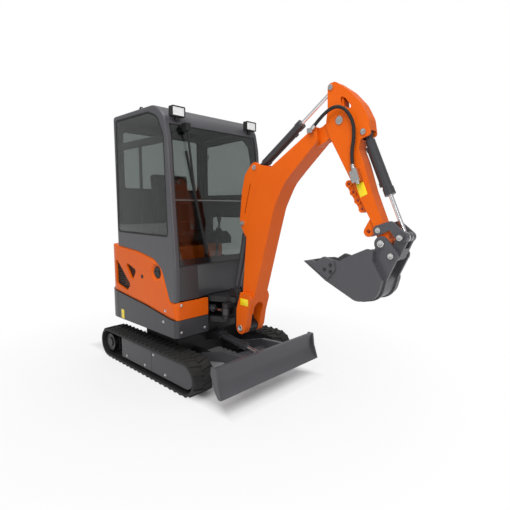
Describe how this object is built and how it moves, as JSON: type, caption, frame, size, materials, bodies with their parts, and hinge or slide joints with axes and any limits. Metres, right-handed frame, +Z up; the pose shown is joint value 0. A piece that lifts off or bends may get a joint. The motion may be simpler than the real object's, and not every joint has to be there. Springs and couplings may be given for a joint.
{
  "type": "mini excavator",
  "caption": "compact tracked excavator with a closed cab, offset swing boom, bucket and front dozer blade, for digging and grading on small sites",
  "frame": {"origin": "on the ground under the slew axis, midway along and between the tracks", "axes": "+X forward over the blade, +Y to the left, +Z up"},
  "size_m": [2.8232, 1.13, 2.2709],
  "materials": {
    "orange_paint": "gloss paint",
    "grey_paint": "satin paint",
    "black_paint": "satin paint",
    "steel": "worn",
    "iron": "cast",
    "chrome": "polished",
    "rubber": "matte",
    "black_plastic": "matte",
    "seat_cover": "grained",
    "tinted_glass": "tinted"
  },
  "bodies": {
    "undercarriage": {"track_right": "rubber", "track_left": "rubber", "track_frame_right": "grey_paint", "track_frame_left": "grey_paint", "idlers": "steel", "sprockets": "steel", "rollers": "steel", "carbody": "black_paint", "slew_ring": "steel"},
    "blade": {"blade": "grey_paint"},
    "blade_cylinder": {"blade_cylinder": "grey_paint"},
    "blade_rod": {"blade_rod": "chrome"},
    "house": {"deck": "black_paint", "swing_bracket": "black_paint", "counterweight": "grey_paint", "skirts": "grey_paint", "side_panel_right": "orange_paint", "side_panel_left": "orange_paint", "vent_grilles": "black_plastic", "filler_cap": "black_plastic", "bay_top": "orange_paint", "engine": "iron", "cab_right": "grey_paint", "cab_left": "grey_paint", "cab_rear": "grey_paint", "cab_roof": "grey_paint", "cab_front": "grey_paint", "cab_floor": "black_paint", "glass_right": "tinted_glass", "glass_rear": "tinted_glass", "windshield": "tinted_glass", "seat_box": "orange_paint", "seat": "seat_cover", "consoles": "black_plastic", "control_levers": "black_plastic", "work_lamps": "black_plastic", "wiper": "black_plastic"},
    "hood": {"hood": "orange_paint"},
    "door": {"door": "grey_paint", "door_glass": "tinted_glass", "door_handle": "black_plastic"},
    "swing_post": {"swing_post": "black_paint"},
    "swing_cylinder": {"swing_cylinder": "grey_paint"},
    "swing_rod": {"swing_rod": "chrome"},
    "boom": {"boom": "orange_paint", "boom_fitting": "steel", "spare_hose": "rubber"},
    "boom_cylinder": {"boom_cylinder": "grey_paint"},
    "boom_rod": {"boom_rod": "chrome"},
    "arm": {"arm": "orange_paint", "arm_coupler": "steel"},
    "arm_cylinder": {"arm_cylinder": "grey_paint"},
    "arm_rod": {"arm_rod": "chrome"},
    "bucket": {"bucket": "grey_paint"},
    "bucket_cylinder": {"bucket_cylinder": "grey_paint"},
    "bucket_rod": {"bucket_rod": "chrome"},
    "rocker": {"rocker": "grey_paint"},
    "bucket_link": {"bucket_link": "grey_paint"}
  },
  "joints": [
    {"name": "slew", "type": "hinge", "parent": "undercarriage", "child": "house", "pos_m": [0, 0, 0.392], "axis": [0, 0, 1], "continuous": true},
    {"name": "blade", "type": "hinge", "parent": "undercarriage", "child": "blade", "pos_m": [0.43, 0, 0.185], "axis": [0, -1, 0], "range_deg": [-30, 11]},
    {"name": "blade_cylinder_turn", "type": "hinge", "parent": "undercarriage", "child": "blade_cylinder", "pos_m": [0.395, 0, 0.328], "axis": [0, -1, 0], "range_deg": [-26.82, 10.47]},
    {"name": "blade_rod_slide", "type": "slide", "parent": "blade_cylinder", "child": "blade_rod", "axis": [0.9927, 0, -0.1203], "range_m": [-0.02634, 0.06837]},
    {"name": "hood", "type": "hinge", "parent": "house", "child": "hood", "pos_m": [-0.692, 0, 1.086], "axis": [0, 1, 0], "range_deg": [0, 75]},
    {"name": "door", "type": "hinge", "parent": "house", "child": "door", "pos_m": [-0.426, 0.517, 1.2], "axis": [0, 0, 1], "range_deg": [0, 160]},
    {"name": "swing", "type": "hinge", "parent": "house", "child": "swing_post", "pos_m": [0.575, 0, 0.588], "axis": [0, 0, 1], "range_deg": [-55, 70]},
    {"name": "swing_cylinder_turn", "type": "hinge", "parent": "house", "child": "swing_cylinder", "pos_m": [0.06, -0.12, 0.588], "axis": [0, 0, 1], "range_deg": [-4.97, 6.05]},
    {"name": "swing_rod_slide", "type": "slide", "parent": "swing_cylinder", "child": "swing_rod", "axis": [0.9999, 0.0131, 0], "range_m": [-0.09635, 0.12209]},
    {"name": "boom", "type": "hinge", "parent": "swing_post", "child": "boom", "pos_m": [0.763, 0, 0.48], "axis": [0, -1, 0], "range_deg": [-72, 10]},
    {"name": "boom_cylinder_turn", "type": "hinge", "parent": "swing_post", "child": "boom_cylinder", "pos_m": [0.606, 0, 0.742], "axis": [0, -1, 0], "range_deg": [-78.04, 11.7]},
    {"name": "boom_rod_slide", "type": "slide", "parent": "boom_cylinder", "child": "boom_rod", "axis": [0.2425, 0, 0.9701], "range_m": [-0.05104, 0.3551]},
    {"name": "arm", "type": "hinge", "parent": "boom", "child": "arm", "pos_m": [1.6, 0, 1.98], "axis": [0, -1, 0], "range_deg": [-15, 62], "deforming": ["spare_hose"]},
    {"name": "arm_cylinder_turn", "type": "hinge", "parent": "boom", "child": "arm_cylinder", "pos_m": [0.879, 0, 1.738], "axis": [0, -1, 0], "range_deg": [-3.22, 1.54]},
    {"name": "arm_rod_slide", "type": "slide", "parent": "arm_cylinder", "child": "arm_rod", "axis": [0.8198, 0, 0.5726], "range_m": [-0.23291, 0.05787]},
    {"name": "bucket", "type": "hinge", "parent": "arm", "child": "bucket", "pos_m": [1.926, 0, 1.228], "axis": [0, -1, 0], "range_deg": [-37, 120]},
    {"name": "bucket_cylinder_turn", "type": "hinge", "parent": "arm", "child": "bucket_cylinder", "pos_m": [1.767, 0, 1.89], "axis": [0, -1, 0], "range_deg": [-2.11, 4.61]},
    {"name": "bucket_rod_slide", "type": "slide", "parent": "bucket_cylinder", "child": "bucket_rod", "axis": [0.4012, 0, -0.916], "range_m": [-0.18931, 0.05975]},
    {"name": "rocker_turn", "type": "hinge", "parent": "arm", "child": "rocker", "pos_m": [1.89, 0, 1.304], "axis": [0, -1, 0], "range_deg": [-24.25, 76.4]},
    {"name": "link_turn", "type": "hinge", "parent": "rocker", "child": "bucket_link", "pos_m": [2.039, 0, 1.269], "axis": [0, -1, 0], "range_deg": [-47.8, 15.43]}
  ],
  "couplings": [
    {"joint": "blade_cylinder_turn", "follows": "blade", "ratio": 0.86057},
    {"joint": "blade_rod_slide", "follows": "blade", "m_per_rad": -0.12676},
    {"joint": "swing_cylinder_turn", "follows": "swing", "ratio": 0.072132},
    {"joint": "swing_rod_slide", "follows": "swing", "m_per_rad": 0.098294},
    {"joint": "boom_cylinder_turn", "follows": "boom", "ratio": 1.07},
    {"joint": "boom_rod_slide", "follows": "boom", "m_per_rad": -0.28099},
    {"joint": "arm_cylinder_turn", "follows": "arm", "ratio": -0.035769},
    {"joint": "arm_rod_slide", "follows": "arm", "m_per_rad": -0.21339},
    {"joint": "bucket_cylinder_turn", "follows": "bucket", "ratio": 0.030115},
    {"joint": "bucket_rod_slide", "follows": "bucket", "m_per_rad": -0.089432},
    {"joint": "rocker_turn", "follows": "bucket", "ratio": 0.62837},
    {"joint": "link_turn", "follows": "bucket", "ratio": -0.39}
  ]
}
